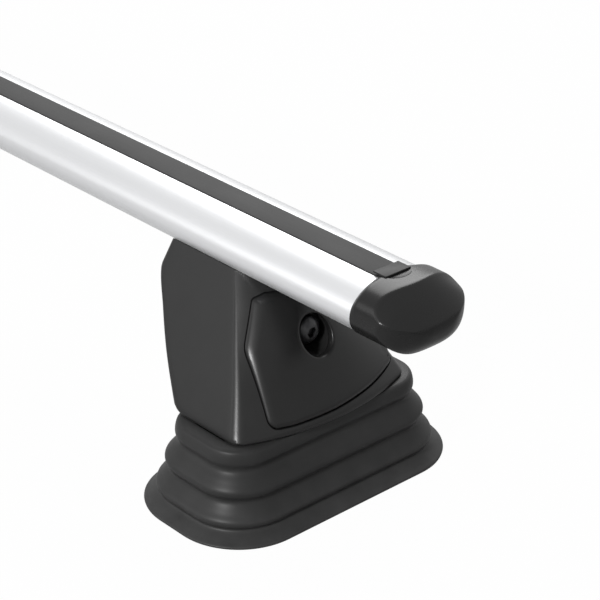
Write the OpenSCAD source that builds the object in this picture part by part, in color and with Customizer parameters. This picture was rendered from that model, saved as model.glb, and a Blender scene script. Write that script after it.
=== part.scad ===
// Roof rack crossbar: an oval aluminium bar on two feet.
// X runs along the bar, +Z is up, and the origin is on the roof midway between the feet.
// The +X foot is the same foot as the -X one, turned half a turn about Z.

/* [Bar] */
// Length of the aluminium extrusion
bar_length = 1200; // [900:10:1400]
// Width of the oval section
bar_width = 50; // [44:0.5:64]
// Height of the oval section
bar_height = 28.4; // [27:0.2:34]
// Height of the bar's centre line above the roof
bar_axis_height = 115; // [112:1:125]
// Wall of the extrusion
bar_wall = 2.2; // [1.6:0.1:2.8]
// Width of the mouth of the top slot
top_mouth = 15.2; // [12:0.1:18]
// Width of the cavity of the top slot
top_cavity = 22; // [20:0.5:24]
// Thickness of the lips beside the top slot
top_lip = 2.4; // [2:0.1:3]
// Depth of the cavity of the top slot
top_depth = 7.6; // [6:0.1:8.4]
// Width of the mouth of the lower slot
lower_mouth = 10; // [9.4:0.1:12]
// Width of the cavity of the lower slot
lower_cavity = 19; // [17:0.5:20]
// Thickness of the lips beside the lower slot
lower_lip = 2.5; // [2:0.1:3]
// Depth of the cavity of the lower slot
lower_depth = 5; // [4.6:0.1:6]

/* [Rubber strip] */
// Thickness of the strip's crowned top
strip_top = 2.4; // [2:0.1:3]
// Thickness of the strip's two legs
strip_leg = 1.6; // [1.2:0.1:2]

/* [End cap] */
// Length of the cap beyond the end of the bar
cap_length = 29; // [24:1:40]
// Length of the part of the cap that follows the bar
cap_shoulder = 10.5; // [9:0.5:14]
// Width of the nose where it starts to turn in
cap_nose_width = 39; // [30:1:44]
// Height of the nose where it starts to turn in
cap_nose_height = 16; // [12:1:20]
// Length of the plugs that go into the bar
cap_plug = 22; // [12:1:30]
// Length of the flap over the end of the top slot
flap_length = 8; // [7:0.5:9]
// Length by which the flap lies over the strip
flap_overlap = 4.5; // [3:0.5:5]
// Length of the finger scoop beside the flap
scoop_length = 4.8; // [3:0.1:5]
// Thickness of the flap
flap_thick = 3; // [2:0.2:4]

/* [Foot] */
// Distance from the end of the bar to the middle of the foot
foot_inset = 62.5; // [62:0.5:160]
// Height of the boot
boot_height = 41.5; // [38:0.5:43]
// Length of the boot at the roof, across the bar
boot_length = 153; // [145:1:165]
// Width of the boot at the roof, along the bar
boot_width = 85; // [80:1:95]
// Radius of the boot's corners at the roof
boot_corner = 38; // [34:0.5:42]
// Wall of the boot
boot_wall = 2.4; // [2:0.1:3]
// Length of the tower at its foot, across the bar
tower_length = 108; // [100:1:114]
// Length of the tower at its top, across the bar
tower_top_length = 41; // [40:0.5:44]
// Wall of the moulded tower
tower_wall = 2.6; // [2:0.1:3]
// Thickness of the cover
cover_thick = 2; // [1.6:0.1:2.4]
// Height by which the cover stands proud of the tower
cover_proud = 0.8; // [0.4:0.1:1.2]

/* [Clamp] */
// Diameter of the clamp screw's thread
screw_diameter = 6; // [5:1:6]
// Length of the clamp screw under its head
screw_length = 25; // [24:0.5:25.5]
// Height of the clamp screw above the roof
screw_height = 78.5; // [78:0.5:80]
// Thread pitch of the clamp screw
screw_pitch = 1; // [0.8:0.1:1]
// Number of turns from tight to loose
screw_turns = 5; // [3:1:5]
// Rise of the wedge for each millimetre of its travel
wedge_slope = 0.2; // [0.15:0.01:0.25]
// Width of the wedge
wedge_width = 20; // [18:0.5:21]
// Length of the anchor's head in the lower slot
anchor_length = 36; // [30:1:40]
// Width of the anchor's neck
neck_width = 8; // [7:0.1:8]

/* [Base] */
// Thickness of the pressed steel
steel_thick = 3; // [2.5:0.1:3]
// Thickness of the base plate
plate_thick = 4; // [3:0.5:5]
// Thickness of the rubber pad on the roof
pad_thick = 11; // [10.5:0.5:12]
// Length of the base plate, across the bar
plate_length = 96; // [88:1:100]
// Width of the base plate, along the bar
plate_width = 48; // [44:1:52]
// Length of the roof screw under its head
roof_screw_length = 16; // [15:0.5:16]

/* [Hidden] */
$fn = 48;

// Clearances: between pieces that slide past each other, between curved faces, round a
// turning shaft, and round a screw in its hole
slide_gap = 0.5;
seat_gap = 0.3;
shaft_gap = 0.05;
hole_gap = 0.3;
// Height by which the end cap stands proud of the bar
cap_proud = 0.5;
// Length by which a cut runs past the face that it opens, the height or reach of a cut that
// clears the whole foot, and a place outside the foot's outer face
past = 1;
far = 200;
clear_x = 60;

// Heights of the bar's parts
bar_bottom = bar_axis_height - bar_height / 2;
bar_top = bar_axis_height + bar_height / 2;
lower_floor = bar_bottom + lower_lip;
lower_roof = lower_floor + lower_depth;
top_floor = bar_top - top_lip - top_depth;
web_half = top_cavity / 2 + bar_wall;
foot_x = bar_length / 2 - foot_inset;

// Height of the oval's surface over its centre, at a distance from the middle
function oval_rise(y) = bar_height / 2 * sqrt(1 - pow(2 * y / bar_width, 2));

// Heights of the foot's parts
plate_z = pad_thick;
frame_z = plate_z + plate_thick;
tower_z = boot_height;
roof_z = bar_bottom - seat_gap;
frame_top = roof_z - tower_wall;
tower_top = bar_axis_height - oval_rise(tower_top_length / 2);

// The clamp: the wedge's travel pulls the anchor down
wedge_travel = screw_pitch * screw_turns;
anchor_travel = wedge_travel * wedge_slope;
screw_head_d = 10;
screw_head_h = 6;
washer_d = 12.5;
washer_thick = 3;
wall_x = 2;
head_x = wall_x + washer_thick;
neck_out = -22;
neck_in = -40;
bridge_out = -6;
bridge_in = neck_out + wedge_travel + slide_gap;
wedge_in = neck_in;
incline_out = -20;
incline_z = screw_height - 7.5;
head_thick = lower_depth - anchor_travel - slide_gap;
anchor_foot_z = incline_z - 11;

// The cover's screw recess, and the tower's screws
recess_d = 18;
cup_wall = 1.6;
post_y = 9;
post_z = 61;
post_d = 9;
post_bore = 4.2;
post_seat = 8;
post_head_d = 7;
floor_thick = 1.8;
window_half = 10;
window_z = 48.5;
window_top = 55;
frame_half = 14;

// Numbers from start to end in n equal steps
function ring(n, start, end) = [for (i = [0:n]) start + (end - start) * i / n];

// Outline of the oval section, grown evenly by a clearance
module oval(grow = 0) {
    polygon([for (a = ring(71, 0, 355)) [
        (bar_width / 2 + grow) * cos(a), (bar_height / 2 + grow) * sin(a)]]);
}

// Stands a section that is drawn as [y, z] along X, from one end to the other
module along_x(from, to) {
    translate([from, 0, 0]) rotate([90, 0, 90]) linear_extrude(to - from) children();
}

// Lies a side view that is drawn as [x, z] across the bar, centred on it
module across(width) {
    translate([0, width / 2, 0]) rotate([90, 0, 0]) linear_extrude(width) children();
}

// A bar of round section along X
module round_x(x0, x1, d, y, z) {
    translate([x0, y, z]) rotate([0, 90, 0]) cylinder(h = x1 - x0, d = d);
}

// A box given by its lowest corner and its highest one
module block(low, high) {
    translate(low) cube(high - low);
}

module rounded_plate(length_x, length_y, thick, r) {
    linear_extrude(thick) union() {
        square([length_x - 2 * r, length_y], center = true);
        square([length_x, length_y - 2 * r], center = true);
        for (sx = [-1, 1], sy = [-1, 1])
            translate([sx * (length_x / 2 - r), sy * (length_y / 2 - r)]) circle(r);
    }
}

// The +X foot, or with side = -1 the same foot half a turn round
module at_foot(side) {
    rotate([0, 0, side > 0 ? 0 : 180]) translate([foot_x, 0, 0]) children();
}

module at_end(side) {
    rotate([0, 0, side > 0 ? 0 : 180]) translate([bar_length / 2, 0, bar_axis_height]) children();
}

// Bar

// The two closed chambers at the sides of the section
module side_chambers(grow = 0) {
    difference() {
        oval(-bar_wall + grow);
        square([2 * (web_half - grow), bar_height], center = true);
    }
}

// The slot for accessories, which the rubber strip fills
module top_slot() {
    translate([-top_mouth / 2, top_floor - bar_axis_height])
        square([top_mouth, bar_height]);
    translate([-top_cavity / 2, top_floor - bar_axis_height])
        square([top_cavity, top_depth]);
}

// The slot that the anchors of the feet run in
module lower_slot() {
    translate([-lower_mouth / 2, -bar_height])
        square([lower_mouth, bar_height + lower_roof - bar_axis_height]);
    translate([-lower_cavity / 2, lower_floor - bar_axis_height])
        square([lower_cavity, lower_depth]);
}

// The chamber between the two slots
module middle_chamber() {
    low = lower_roof + bar_wall - bar_axis_height;
    high = top_floor - bar_wall - bar_axis_height;
    translate([-top_cavity / 2, low]) square([top_cavity, high - low]);
}

module bar() {
    color("silver") translate([0, 0, bar_axis_height]) along_x(-bar_length / 2, bar_length / 2)
        difference() {
            oval();
            side_chambers();
            top_slot();
            lower_slot();
            middle_chamber();
        }
}

// A rubber infill with a crowned top, two legs and barbs that catch under the lips
module strip_section() {
    edge = top_mouth / 2 - 0.1;
    top_z = bar_top - bar_axis_height;
    under = top_z - strip_top;
    barb = 1.4;
    barb_z = top_z - top_lip - seat_gap - barb;
    foot_z = top_floor - bar_axis_height;
    crown = [for (y = ring(12, -edge, edge)) [y, oval_rise(y)]];
    polygon(concat([[edge, under], [-edge, under]], crown));
    for (s = [-1, 1]) {
        translate([s * (edge - strip_leg / 2) - strip_leg / 2, foot_z])
            square([strip_leg, under - foot_z]);
        translate([s * (edge + barb / 2) - barb / 2, barb_z]) square([barb, barb]);
    }
}

module top_strip() {
    reach = bar_length / 2 - slide_gap;
    color("dimgray") translate([0, 0, bar_axis_height]) along_x(-reach, reach) strip_section();
}

// End caps

// A section of the nose: squarer than the oval, and lower than the bar's centre line
module nose_section(width, height, drop) {
    power = 0.8;
    polygon([for (a = ring(47, 0, 352.5)) [
        width / 2 * sign(cos(a)) * pow(abs(cos(a)), power),
        height / 2 * sign(sin(a)) * pow(abs(sin(a)), power) - drop]]);
}

// The cap follows the bar, then slopes down over its front and turns under to the nose
module cap_body() {
    thin = 0.1;
    hull() {
        along_x(0, cap_shoulder) oval(cap_proud);
        along_x(0.63 * cap_length, 0.63 * cap_length + thin)
            nose_section(bar_width + 1, 0.8 * bar_height, 1);
        along_x(0.88 * cap_length, 0.88 * cap_length + thin)
            nose_section(cap_nose_width, cap_nose_height, 3);
        along_x(cap_length - thin, cap_length)
            nose_section(0.6 * cap_nose_width, 0.45 * cap_nose_height, 3.4);
    }
}

// The seat of the flap: its own outline in the cap, grown by a clearance
module flap_seat(grow) {
    top_z = bar_height / 2;
    reach = flap_length - flap_overlap;
    block([-past, -top_mouth / 2 - grow, top_z - flap_thick - grow],
          [reach + grow, top_mouth / 2 + grow, top_z + past]);
}

// The half-moon scoop that lets a finger under the flap
module scoop() {
    chord_x = flap_length - flap_overlap;
    r = (pow(top_mouth / 2, 2) + pow(scoop_length, 2)) / (2 * scoop_length);
    depth = 2.6;
    intersection() {
        translate([chord_x + scoop_length - r, 0, bar_height / 2 - depth])
            cylinder(h = 10, r = r);
        block([chord_x, -r, 0], [chord_x + scoop_length + past, r, bar_height]);
    }
}

module end_cap() {
    color("#26272a") difference() {
        union() {
            cap_body();
            along_x(-cap_plug, past) side_chambers(-slide_gap / 2);
        }
        flap_seat(seat_gap / 2);
        scoop();
    }
}

// The lid over the end of the top slot, which lifts off with a finger in the scoop
module slot_flap() {
    half = top_mouth / 2;
    over = bar_height / 2 + seat_gap;
    reach = flap_length - flap_overlap;
    lip = 1.2;
    slant = 1;
    color("#303134") union() {
        block([0, -half, over - seat_gap - flap_thick], [reach, half, over]);
        along_x(-flap_overlap, reach)
            polygon([[-half, over], [half, over], [half - slant, over + lip],
                     [slant - half, over + lip]]);
    }
}

// Boot

// Distance of the boot's skin inside its outline on the roof, and height, from the top down
function boot_knots() = let (h = boot_height / 41.5) [
    [17.7, 41.5 * h], [16.2, 40.6 * h], [15.4, 38 * h], [15.3, 35 * h],
    [16.4, 31 * h], [13.2, 27 * h], [10.5, 23.6 * h], [10.3, 21 * h],
    [11.6, 17.6 * h], [8.7, 13.2 * h], [6.1, 10.2 * h], [5.9, 8 * h],
    [6.8, 5.6 * h], [2.6, 2.6 * h], [0, 1.1 * h], [0, 0]];

function blend(a, b, c, d, t) = 0.5 * (2 * b + (c - a) * t
    + (2 * a - 5 * b + 4 * c - d) * t * t + (3 * b - a - 3 * c + d) * t * t * t);

// A smooth line through the knots, with a few steps between each two
function smooth(k, steps) = let (n = len(k) - 1) concat(
    [for (i = [0:n - 1], s = [0:steps - 1])
        blend(k[max(i - 1, 0)], k[i], k[i + 1], k[min(i + 2, n)], s / steps)], [k[n]]);

// The wall's section as [distance from the corner's centre, height]
module boot_section() {
    outer = smooth(boot_knots(), 3);
    knots = boot_knots();
    n = len(knots) - 1;
    flange = 6;
    inner = [for (i = [n:-1:1]) [boot_corner - knots[i][0] - boot_wall,
        min(knots[i][1], boot_height - boot_wall)]];
    polygon(concat([for (p = outer) [boot_corner - p[0], p[1]]], inner,
        [[boot_corner - knots[0][0] - flange, boot_height - boot_wall],
         [boot_corner - knots[0][0] - flange, boot_height]]));
}

// The section carried round a rounded rectangle: four corners and four straight sides
module boot() {
    cx = boot_width / 2 - boot_corner;
    cy = boot_length / 2 - boot_corner;
    color("#2b2c2e") union() {
        for (q = [0:3]) {
            sx = (q == 0 || q == 3) ? 1 : -1;
            sy = q < 2 ? 1 : -1;
            translate([sx * cx, sy * cy, 0]) rotate([0, 0, 90 * q])
                rotate_extrude(angle = 90, $fn = 96) boot_section();
        }
        for (s = [0, 180]) rotate([0, 0, s]) {
            translate([cx, cy, 0]) rotate([90, 0, 0]) linear_extrude(2 * cy) boot_section();
            translate([-cx, cy, 0]) rotate([90, 0, 90]) linear_extrude(2 * cx) boot_section();
        }
    }
}

// Tower

// Level sections of the tower: height, inner edge, middle of the outer face, outer corner.
// Both faces lean in over the roof, and the outer one is bowed.
function tower_sections() = [
    [tower_z, -27, 31, 19.5], [tower_z + 3, -31, 30, 17.6], [62, -46, 22, 7.4],
    [78, -57.5, 14.4, -2.6], [94, -67.5, 3, -12], [tower_top, -65.5, -8, -20]];

// Half length of the tower at a height
function tower_half(z) = tower_length / 2
    - (tower_length - tower_top_length) / 2 * (z - tower_z) / (tower_top - tower_z);

// One level section, with a bowed outer edge, moved outwards all round by grow
module tower_outline(s, grow) {
    half = tower_half(s[0]) + grow;
    bow = s[2] - s[3];
    r = (half * half + bow * bow) / (2 * bow);
    reach = asin(half / r);
    round_r = 5;
    offset(r = round_r, $fn = 24) offset(delta = -round_r) polygon(concat(
        [for (a = ring(14, -reach, reach)) [s[2] + grow - r + r * cos(a), r * sin(a)]],
        [[s[1] - grow, half], [s[1] - grow, -half]]));
}

module tower_body(grow) {
    slab = 0.2;
    hull() for (s = tower_sections())
        translate([0, 0, min(s[0], tower_top - slab)]) linear_extrude(slab)
            tower_outline(s, grow);
}

// Outline of the clip-on cover as [y, z], seen from the end of the bar
function cover_outline() = [
    [-15, 98], [-20.5, 96], [-34.5, 77], [-38, 46.4], [-25, 45.9], [0, 46.6], [25, 48.2],
    [46.8, 50.2], [46.5, 58], [34.5, 77], [20.5, 96], [15, 98]];
cover_corner = 3.5;

module cover_prism(grow) {
    along_x(-30, clear_x) offset(delta = grow)
        offset(r = cover_corner, $fn = 24) offset(delta = -cover_corner)
            polygon(cover_outline());
}

// The bar's space over the tower, with its clearance
module bar_space(grow) {
    translate([0, 0, bar_axis_height]) along_x(-far, clear_x) oval(grow);
}

// The moulded tower: a leaning shell with a saddle for the bar, a sunk seat for the cover,
// a cup round the clamp screw, two screw posts and a window to the roof screw
module tower_housing() {
    color("#2a2b2d") difference() {
        union() {
            difference() {
                tower_body(0);
                intersection() {
                    tower_body(-tower_wall);
                    block([-far, -far, tower_z - past], [far, far, frame_top]);
                }
                difference() {
                    cover_prism(slide_gap / 2);
                    tower_body(-cover_thick - seat_gap);
                }
                block([-far, -far, tower_z - past], [far, far, tower_z]);
            }
            intersection() {
                tower_body(-cover_thick - seat_gap);
                union() {
                    difference() {
                        cover_prism(tower_wall);
                        tower_body(-cover_thick - seat_gap - floor_thick);
                    }
                    round_x(wall_x, clear_x, recess_d + 2 * cup_wall, 0, screw_height);
                    for (s = [-1, 1]) round_x(wall_x, clear_x, post_d, s * post_y, post_z);
                }
            }
        }
        bar_space(seat_gap);
        round_x(wall_x + washer_thick, clear_x, recess_d, 0, screw_height);
        round_x(wall_x - past, clear_x, washer_d + 2 * hole_gap, 0, screw_height);
        for (s = [-1, 1]) {
            round_x(wall_x - past, clear_x, post_bore, s * post_y, post_z);
            round_x(wall_x + post_seat, clear_x, post_head_d + 2 * hole_gap, s * post_y, post_z);
        }
        block([wall_x, -window_half, window_z], [clear_x, window_half, window_top]);
        block([neck_in - slide_gap, -neck_width / 2 - slide_gap, frame_top - past],
              [neck_out + slide_gap, neck_width / 2 + slide_gap, far]);
    }
}

// The clip-on cover, a thin shell that follows the tower's bowed face
module front_cover() {
    color("#2e2f31") difference() {
        intersection() {
            tower_body(cover_proud);
            cover_prism(0);
        }
        tower_body(-cover_thick);
        bar_space(2 * seat_gap);
        round_x(wall_x, clear_x, recess_d, 0, screw_height);
    }
}

// Steel frame

// Side view of the frame's cheeks
function cheek_outline() = [
    [wall_x, frame_z], [wall_x, 85], [-12, frame_top], [-58, frame_top], [-58, 86],
    [-52, 80], [-16, 45], [-14, 40], [-14, frame_z]];

// A pressed frame: an outer wall, a top plate, two cheeks and their feet
module tower_frame() {
    half = frame_half;
    flange = 22;
    color("slategray") difference() {
        union() {
            difference() {
                across(2 * half) polygon(cheek_outline());
                across(2 * (half - steel_thick)) polygon([
                    [wall_x - steel_thick, frame_z - past], [wall_x - steel_thick, 84],
                    [-13, frame_top - steel_thick], [-70, frame_top - steel_thick],
                    [-70, frame_z - past]]);
            }
            for (s = [-1, 1])
                block([-14, s > 0 ? half : -half - flange, frame_z],
                      [wall_x, s > 0 ? half + flange : -half, frame_z + steel_thick]);
        }
        round_x(-10, 10, screw_diameter + 2 * hole_gap, 0, screw_height);
        for (s = [-1, 1]) round_x(-10, 10, post_bore - 0.2, s * post_y, post_z);
        block([-10, -window_half, frame_z - past], [10, window_half, window_top]);
        block([neck_in - slide_gap, -neck_width / 2 - slide_gap, frame_top - 10],
              [neck_out + slide_gap, neck_width / 2 + slide_gap, frame_top + past]);
        for (p = bolt_places()) translate([p[0], p[1], 0])
            cylinder(h = far, d = bolt_d + 2 * hole_gap);
    }
}

// The bolts that hold the frame to the base plate
bolt_d = 5;
function bolt_places() = [for (sy = [-1, 1]) [-5.3, sy * 28]];

module frame_bolts() {
    color("gray") for (p = bolt_places()) translate([p[0], p[1], 0]) {
        translate([0, 0, frame_z + steel_thick]) cylinder(h = 3.5, d = 9, $fn = 6);
        translate([0, 0, plate_z]) cylinder(h = plate_thick + steel_thick + past, d = bolt_d);
    }
}

roof_d = 6;

// The plate that the roof screw draws down, with tapped holes for the frame's bolts
module base_plate() {
    color("gray") difference() {
        translate([0, 0, plate_z]) rounded_plate(plate_width, plate_length, plate_thick, 8);
        cylinder(h = far, d = roof_d + 2 * hole_gap);
        for (p = bolt_places()) translate([p[0], p[1], 0])
            cylinder(h = far, d = bolt_d + 2 * shaft_gap);
    }
}

// The rubber pad on the roof, hollow round the roof's threaded insert
module base_pad() {
    insert_d = 18;
    color("#222222") difference() {
        rounded_plate(plate_width + 6, plate_length + 8, pad_thick, 10);
        translate([0, 0, -past]) cylinder(h = far, d = insert_d);
    }
}

// Fasteners

// A hex socket cap screw with its head up, its thread starting at the origin's height,
// and a thinner neck under the head where one is given
module socket_screw(d, length, head_d, head_h, key, neck = 0) {
    neck_d = d - 0.8;
    difference() {
        union() {
            cylinder(h = length - neck, d = d);
            translate([0, 0, length - neck]) cylinder(h = neck, d = neck > 0 ? neck_d : d);
            translate([0, 0, length]) cylinder(h = head_h, d = head_d);
        }
        translate([0, 0, length + head_h - 3]) cylinder(h = 10, d = key / cos(30), $fn = 6);
    }
}

module washer(d, bore, thick) {
    difference() {
        cylinder(h = thick, d = d);
        translate([0, 0, -past]) cylinder(h = thick + 2 * past, d = bore);
    }
}

module clamp_screw() {
    color("#1d1d1f") translate([head_x - screw_length, 0, screw_height]) rotate([0, 90, 0])
        socket_screw(screw_diameter, screw_length, screw_head_d, screw_head_h, 5);
}

module clamp_washer() {
    color("silver") translate([wall_x, 0, screw_height]) rotate([0, 90, 0])
        washer(washer_d, screw_diameter + 2 * shaft_gap, washer_thick);
}

roof_washer_thick = 1.6;
roof_seat = frame_z + roof_washer_thick;

module roof_screw() {
    color("silver") translate([0, 0, roof_seat - roof_screw_length])
        socket_screw(roof_d, roof_screw_length, 10, 6, 5, plate_thick + roof_washer_thick);
}

module roof_washer() {
    color("silver") translate([0, 0, frame_z])
        washer(washer_d, roof_d + 2 * shaft_gap, roof_washer_thick);
}

module housing_screws() {
    color("silver") for (s = [-1, 1]) {
        round_x(wall_x - 6, wall_x + post_seat, post_bore - 0.6, s * post_y, post_z);
        round_x(wall_x + post_seat, wall_x + post_seat + 2.4, post_head_d, s * post_y, post_z);
    }
}

// The wedge that the clamp screw draws outwards: a fork round the anchor's neck
module wedge() {
    color("darkgray") difference() {
        across(wedge_width) polygon([
            [wedge_in, frame_top - steel_thick], [bridge_out - 8.5, frame_top - steel_thick],
            [bridge_out, screw_height + 7.5], [bridge_out, incline_z], [incline_out, incline_z],
            [wedge_in, incline_z - wedge_slope * (incline_out - wedge_in)]]);
        block([wedge_in - past, -neck_width / 2 - slide_gap, 0],
              [bridge_in, neck_width / 2 + slide_gap, far]);
        round_x(-clear_x, 0, screw_diameter + 2 * shaft_gap, 0, screw_height);
    }
}

// The anchor: a head in the bar's lower slot, a neck, and a foot under the wedge
module anchor() {
    mid = (neck_in + neck_out) / 2;
    out = incline_out - wedge_travel;
    head_w = lower_cavity - 2 * slide_gap;
    color("lightslategray") union() {
        block([mid - anchor_length / 2, -head_w / 2, lower_floor],
              [mid + anchor_length / 2, head_w / 2, lower_floor + head_thick]);
        block([neck_in, -neck_width / 2, anchor_foot_z],
              [neck_out, neck_width / 2, lower_floor + 1]);
        across(wedge_width) polygon([
            [neck_in, anchor_foot_z], [out, anchor_foot_z],
            [out, incline_z - wedge_slope * (incline_out - out)],
            [neck_in, incline_z - wedge_slope * (incline_out - neck_in)]]);
    }
}

bar();
top_strip();
at_end(1) end_cap();  // right_end_cap
at_end(1) slot_flap();  // right_slot_flap
at_end(-1) end_cap();  // left_end_cap
at_end(-1) slot_flap();  // left_slot_flap
at_foot(1) tower_housing();  // right_tower_housing
at_foot(1) front_cover();  // right_front_cover
at_foot(1) boot();  // right_boot
at_foot(1) tower_frame();  // right_tower_frame
at_foot(1) base_plate();  // right_base_plate
at_foot(1) base_pad();  // right_base_pad
at_foot(1) frame_bolts();  // right_frame_bolts
at_foot(1) housing_screws();  // right_housing_screws
at_foot(1) clamp_screw();  // right_clamp_screw
at_foot(1) clamp_washer();  // right_clamp_washer
at_foot(1) wedge();  // right_wedge
at_foot(1) anchor();  // right_anchor
at_foot(1) roof_screw();  // right_roof_screw
at_foot(1) roof_washer();  // right_roof_washer
at_foot(-1) tower_housing();  // left_tower_housing
at_foot(-1) front_cover();  // left_front_cover
at_foot(-1) boot();  // left_boot
at_foot(-1) tower_frame();  // left_tower_frame
at_foot(-1) base_plate();  // left_base_plate
at_foot(-1) base_pad();  // left_base_pad
at_foot(-1) frame_bolts();  // left_frame_bolts
at_foot(-1) housing_screws();  // left_housing_screws
at_foot(-1) clamp_screw();  // left_clamp_screw
at_foot(-1) clamp_washer();  // left_clamp_washer
at_foot(-1) wedge();  // left_wedge
at_foot(-1) anchor();  // left_anchor
at_foot(-1) roof_screw();  // left_roof_screw
at_foot(-1) roof_washer();  // left_roof_washer
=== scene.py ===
# %% [markdown]
# # Dressing a roof rack crossbar
# The CAD model of the crossbar is already packed, in metres, with its moving bodies. This lesson
# loads it, and then gives each visible part the smooth form and the finish of the real one.

# %% Load the frame
from math import asin, atan2, cos, hypot, pi, radians, sin, sqrt, tan

import bmesh
import bpy
from mathutils import Matrix, Vector
from mathutils.geometry import delaunay_2d_cdt


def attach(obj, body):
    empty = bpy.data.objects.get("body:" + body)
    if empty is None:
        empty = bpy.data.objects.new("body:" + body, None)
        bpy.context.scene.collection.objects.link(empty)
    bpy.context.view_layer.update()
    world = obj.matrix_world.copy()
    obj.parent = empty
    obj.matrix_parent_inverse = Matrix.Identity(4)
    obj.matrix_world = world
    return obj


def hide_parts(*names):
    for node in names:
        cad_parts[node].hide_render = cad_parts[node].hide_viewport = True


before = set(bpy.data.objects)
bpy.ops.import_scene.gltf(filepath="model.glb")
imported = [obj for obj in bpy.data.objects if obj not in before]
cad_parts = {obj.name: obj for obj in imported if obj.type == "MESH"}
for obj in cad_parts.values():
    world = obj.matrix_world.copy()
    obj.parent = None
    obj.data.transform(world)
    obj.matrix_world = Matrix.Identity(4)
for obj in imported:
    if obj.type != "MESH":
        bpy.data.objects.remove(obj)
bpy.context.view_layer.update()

# %% [markdown]
# ## The camera
# The photograph was taken with a long lens, from above the right end of the bar. A camera needs a
# place, a direction and a lens. Turning its -Z axis along the view keeps the horizon level.

# %% Camera
CAMERA_PLACE = Vector((1.1791, -0.5734, 0.5359))
CAMERA_VIEW = Vector((-0.6612, 0.5933, -0.4591))
LENS_MM, SENSOR_MM = 126.5, 36


def add_object(name, data):
    """Make an object from its data and put it in the scene."""
    made = bpy.data.objects.new(name, data)
    bpy.context.collection.objects.link(made)
    return made


def make_camera():
    data = bpy.data.cameras.new("long_lens")
    data.lens = LENS_MM
    data.sensor_width = SENSOR_MM
    camera = add_object("long_lens", data)
    camera.location = CAMERA_PLACE
    camera.rotation_euler = CAMERA_VIEW.to_track_quat("-Z", "Y").to_euler()
    bpy.context.scene.camera = camera
    return camera


bpy.context.scene.view_settings.view_transform = "Standard"
print("camera", make_camera().name)

# %% [markdown]
# ## Node trees in Python
# A material is a tree of nodes. Written out node by node it is long and hard to read, so a small
# class wraps a socket, and Python's operators on it add the Math nodes. Every other node comes
# from one method, which takes the node's type, its settings and the values of its sockets.

# %% Sockets that can be added and multiplied
class Wire:
    """A node's output, on which Python's operators add Math nodes."""

    def __init__(self, tree, socket):
        self.tree = tree
        self.socket = socket

    def math(self, operation, *values):
        return self.tree.add("ShaderNodeMath", {"operation": operation}, *values)

    def __add__(self, other):
        return self.math("ADD", self, other)

    def __mul__(self, other):
        return self.math("MULTIPLY", self, other)

    def __truediv__(self, other):
        return self.math("DIVIDE", self, other)

    __radd__ = __add__
    __rmul__ = __mul__


class Tree:
    """A node tree that is filled by one method."""

    def __init__(self, node_tree):
        self.node_tree = node_tree
        self.nodes = node_tree.nodes

    def put(self, socket, value):
        if isinstance(value, Wire):
            self.node_tree.links.new(value.socket, socket)
        else:
            socket.default_value = value

    def add(self, kind, settings, *values, out=0, **named):
        """Add a node: its settings first, then the values or links of its sockets."""
        node = self.nodes.new(kind)
        for name, value in settings.items():
            setattr(node, name, value)
        for socket, value in zip(node.inputs, values):
            self.put(socket, value)
        for name, value in named.items():
            self.put(node.inputs[name.replace("_", " ")], value)
        return Wire(self, node.outputs[out])


print("operators ready:", [name for name in vars(Wire) if name.startswith("__") and "add" in name])

# %% [markdown]
# ## One class for all finishes
# Each finish starts as a Principled shader. What is the same all over the surface is set on the
# shader's own socket, and only what changes over the surface is linked to it. All patterns read
# Object coordinates, which are metres here, so a grain of half a millimetre is given as such.

# %% Finishes
class Finish(Tree):
    """A material with a Principled shader, and the patterns that finishes share."""

    def __init__(self, name, **fixed):
        self.material = bpy.data.materials.new(name)
        self.material.use_nodes = True
        super().__init__(self.material.node_tree)
        self.shader = self.nodes["Principled BSDF"]
        for socket, value in fixed.items():
            self.shader.inputs[socket.replace("_", " ")].default_value = value
        self.place = self.add("ShaderNodeTexCoord", {}, out="Object")

    def noise(self, size, detail=2.0, stretch=(1, 1, 1)):
        """Noise with features of a size in metres, drawn out along an axis by stretch."""
        scale = tuple(1 / (size * long) for long in stretch)
        place = self.add("ShaderNodeMapping", {}, self.place, Scale=scale)
        return self.add("ShaderNodeTexNoise", {}, Vector=place, Scale=1.0, Detail=detail)

    def cells(self, size):
        place = self.add("ShaderNodeMapping", {}, self.place, Scale=(1 / size,) * 3)
        return self.add("ShaderNodeTexVoronoi", {"feature": "F1"}, Vector=place, Scale=1.0)

    def span(self, value, start, end, low=0.0, high=1.0):
        """Carry a value from one range to another, held at both ends."""
        return self.add("ShaderNodeMapRange", {}, value, start, end, low, high)

    def height(self):
        return self.add("ShaderNodeSeparateXYZ", {}, self.place, out="Z")

    def mix(self, low, high, factor):
        """Blend two colours, each given as red, green, blue or as a Wire."""
        node = self.nodes.new("ShaderNodeMix")
        node.data_type = "RGBA"
        self.put(node.inputs[0], factor)
        for socket, colour in ((node.inputs[6], low), (node.inputs[7], high)):
            self.put(socket, colour if isinstance(colour, Wire) else (*colour, 1))
        return Wire(self, node.outputs[2])

    def wear(self, colour, **links):
        """Link the colour, and what else changes over the surface, to the shader."""
        self.put(self.shader.inputs["Base Color"], colour)
        for socket, value in links.items():
            self.put(self.shader.inputs[socket.replace("_", " ")], value)
        return self.material

    def relief(self, height, depth, strength=1.0):
        """A bump whose highest points stand the given depth in metres over its lowest."""
        return self.add("ShaderNodeBump", {}, Strength=strength, Distance=depth, Height=height)


def grey(level):
    return (level, level, level)


# %% [markdown]
# ## Metals
# The bar is extruded and anodised, so its satin surface has very fine lines along its length,
# and no mirror. Steel parts are zinc plated, with a faint mottled sheen. The frame is coated
# black in an oven, which leaves a slight orange peel, and the clamp parts are cast in zinc. All
# of them need two patterns, a fine and a broad one, so one function makes them all.

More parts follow.
